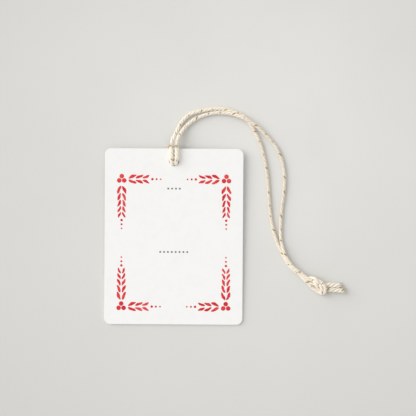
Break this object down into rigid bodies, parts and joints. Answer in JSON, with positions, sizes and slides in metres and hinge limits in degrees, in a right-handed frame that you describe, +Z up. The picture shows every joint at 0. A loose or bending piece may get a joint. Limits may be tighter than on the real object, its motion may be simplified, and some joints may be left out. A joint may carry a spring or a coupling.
{
  "type": "gift tag",
  "caption": "Round-cornered card gift tag with a punched hole, tied with a doubled twine loop in a cow hitch and an overhand knot.",
  "frame": {"origin": "on the table, under the middle of the card", "axes": "+Z up from the table through the card's printed front, +Y along the card's height towards the punched hole, +X to the right seen from the front"},
  "size_m": [0.1213, 0.1101, 0.007],
  "materials": {
    "card": "uncoated heavy board, near white, printed in red and grey",
    "twine": "cream three-ply cotton twine with a gold metallic thread"
  },
  "bodies": {
    "card": {"tag_card": "card"},
    "hitch": {"twine_hitch": "twine"},
    "twine": {"twine_strand_inner": "twine", "twine_strand_outer": "twine", "twine_knot": "twine", "twine_tail_upper": "twine", "twine_tail_lower": "twine"}
  },
  "joints": [
    {"name": "hitch_swivel", "type": "hinge", "parent": "card", "child": "hitch", "pos_m": [0, 0.03809, 0.00242], "axis": [0, -0.0232, 0.9997], "range_deg": [-12, 12]},
    {"name": "twine_flip", "type": "hinge", "parent": "hitch", "child": "twine", "pos_m": [0, 0.048, 0.0042], "axis": [0, -0.9997, -0.0232], "range_deg": [0, 175]}
  ]
}
